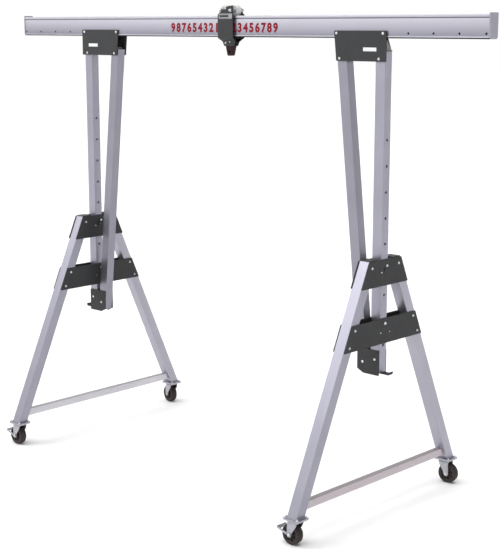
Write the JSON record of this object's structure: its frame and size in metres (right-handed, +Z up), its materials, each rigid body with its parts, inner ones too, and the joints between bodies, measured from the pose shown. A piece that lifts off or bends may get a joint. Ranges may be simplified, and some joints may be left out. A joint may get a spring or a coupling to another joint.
{
  "type": "gantry crane",
  "caption": "Portable adjustable gantry crane: aluminium beam with a rolling trolley, carried by braced posts that slide in two A-frames on swivel casters.",
  "frame": {"origin": "on the floor, midway between the two A-frames", "axes": "+X along the beam, +Y from front to back, +Z up"},
  "size_m": [4.016, 1.532, 2.9883],
  "materials": {
    "anodised_aluminium": "clear anodised extrusion, satin",
    "graphite_paint": "graphite grey powder coat on steel plate",
    "zinc_steel": "bright zinc plated pressed steel",
    "caster_tyre": "dark moulded tyre and core",
    "white_nylon": "machined white nylon",
    "black_plastic": "moulded black plastic plug",
    "dark_iron": "dark brown painted iron block"
  },
  "bodies": {
    "beam": {"beam": "anodised_aluminium", "left_end_cap": "anodised_aluminium", "right_end_cap": "anodised_aluminium"},
    "trolley": {"trolley_front_cheek": "graphite_paint", "trolley_back_cheek": "graphite_paint", "trolley_axles": "zinc_steel", "trolley_load_block": "dark_iron"},
    "trolley_left_roller": {"trolley_left_roller": "white_nylon"},
    "trolley_right_roller": {"trolley_right_roller": "white_nylon"},
    "left_upright": {"left_post": "anodised_aluminium", "left_strut": "anodised_aluminium", "left_head_plates": "graphite_paint", "left_head_packing": "anodised_aluminium", "left_foot_plates": "graphite_paint", "left_post_base": "graphite_paint"},
    "left_a_frame": {"left_front_leg": "anodised_aluminium", "left_back_leg": "anodised_aluminium", "left_leg_caps": "black_plastic", "left_upper_plates": "graphite_paint", "left_lower_plates": "graphite_paint", "left_post_guides": "white_nylon", "left_tie_bar": "anodised_aluminium", "left_height_pin": "zinc_steel", "left_caster_plates": "zinc_steel"},
    "left_front_caster": {"left_front_fork": "zinc_steel"},
    "left_front_wheel": {"left_front_wheel": "caster_tyre"},
    "left_front_brake": {"left_front_brake_pedal": "zinc_steel"},
    "left_back_caster": {"left_back_fork": "zinc_steel"},
    "left_back_wheel": {"left_back_wheel": "caster_tyre"},
    "right_upright": {"right_post": "anodised_aluminium", "right_strut": "anodised_aluminium", "right_head_plates": "graphite_paint", "right_head_packing": "anodised_aluminium", "right_foot_plates": "graphite_paint", "right_post_base": "graphite_paint"},
    "right_a_frame": {"right_front_leg": "anodised_aluminium", "right_back_leg": "anodised_aluminium", "right_leg_caps": "black_plastic", "right_upper_plates": "graphite_paint", "right_lower_plates": "graphite_paint", "right_post_guides": "white_nylon", "right_tie_bar": "anodised_aluminium", "right_height_pin": "zinc_steel", "right_caster_plates": "zinc_steel"},
    "right_front_caster": {"right_front_fork": "zinc_steel"},
    "right_front_wheel": {"right_front_wheel": "caster_tyre"},
    "right_front_brake": {"right_front_brake_pedal": "zinc_steel"},
    "right_back_caster": {"right_back_fork": "zinc_steel"},
    "right_back_wheel": {"right_back_wheel": "caster_tyre"}
  },
  "joints": [
    {"name": "trolley_travel", "type": "slide", "parent": "beam", "child": "trolley", "axis": [1, 0, 0], "range_m": [-0.959, 0.799]},
    {"name": "trolley_left_roller_spin", "type": "hinge", "parent": "trolley", "child": "trolley_left_roller", "pos_m": [0.035, 0, 2.9558], "axis": [0, 1, 0], "continuous": true},
    {"name": "trolley_right_roller_spin", "type": "hinge", "parent": "trolley", "child": "trolley_right_roller", "pos_m": [0.125, 0, 2.9558], "axis": [0, 1, 0], "continuous": true},
    {"name": "left_span_slide", "type": "slide", "parent": "beam", "child": "left_upright", "axis": [-1, 0, 0], "range_m": [0, 0.674]},
    {"name": "left_height_slide", "type": "slide", "parent": "left_upright", "child": "left_a_frame", "axis": [0, 0, 1], "range_m": [0, 0.5968]},
    {"name": "left_front_swivel", "type": "hinge", "parent": "left_a_frame", "child": "left_front_caster", "pos_m": [-1.286, -0.716, 0.14], "axis": [0, 0, 1], "continuous": true},
    {"name": "left_front_wheel_spin", "type": "hinge", "parent": "left_front_caster", "child": "left_front_wheel", "pos_m": [-1.308, -0.716, 0.0625], "axis": [0, -1, 0], "continuous": true},
    {"name": "left_front_brake_tilt", "type": "hinge", "parent": "left_front_caster", "child": "left_front_brake", "pos_m": [-1.308, -0.716, 0.0625], "axis": [0, -1, 0], "range_deg": [0, 16]},
    {"name": "left_back_swivel", "type": "hinge", "parent": "left_a_frame", "child": "left_back_caster", "pos_m": [-1.286, 0.716, 0.14], "axis": [0, 0, 1], "continuous": true},
    {"name": "left_back_wheel_spin", "type": "hinge", "parent": "left_back_caster", "child": "left_back_wheel", "pos_m": [-1.30767, 0.71982, 0.0625], "axis": [-0.1736, -0.9848, 0], "continuous": true},
    {"name": "right_span_slide", "type": "slide", "parent": "beam", "child": "right_upright", "axis": [1, 0, 0], "range_m": [0, 0.674]},
    {"name": "right_height_slide", "type": "slide", "parent": "right_upright", "child": "right_a_frame", "axis": [0, 0, 1], "range_m": [0, 0.5968]},
    {"name": "right_front_swivel", "type": "hinge", "parent": "right_a_frame", "child": "right_front_caster", "pos_m": [1.286, -0.716, 0.14], "axis": [0, 0, 1], "continuous": true},
    {"name": "right_front_wheel_spin", "type": "hinge", "parent": "right_front_caster", "child": "right_front_wheel", "pos_m": [1.264, -0.716, 0.0625], "axis": [0, -1, 0], "continuous": true},
    {"name": "right_front_brake_tilt", "type": "hinge", "parent": "right_front_caster", "child": "right_front_brake", "pos_m": [1.264, -0.716, 0.0625], "axis": [0, -1, 0], "range_deg": [0, 16]},
    {"name": "right_back_swivel", "type": "hinge", "parent": "right_a_frame", "child": "right_back_caster", "pos_m": [1.286, 0.716, 0.14], "axis": [0, 0, 1], "continuous": true},
    {"name": "right_back_wheel_spin", "type": "hinge", "parent": "right_back_caster", "child": "right_back_wheel", "pos_m": [1.30792, 0.71792, 0.0625], "axis": [-0.0872, 0.9962, 0], "continuous": true}
  ]
}
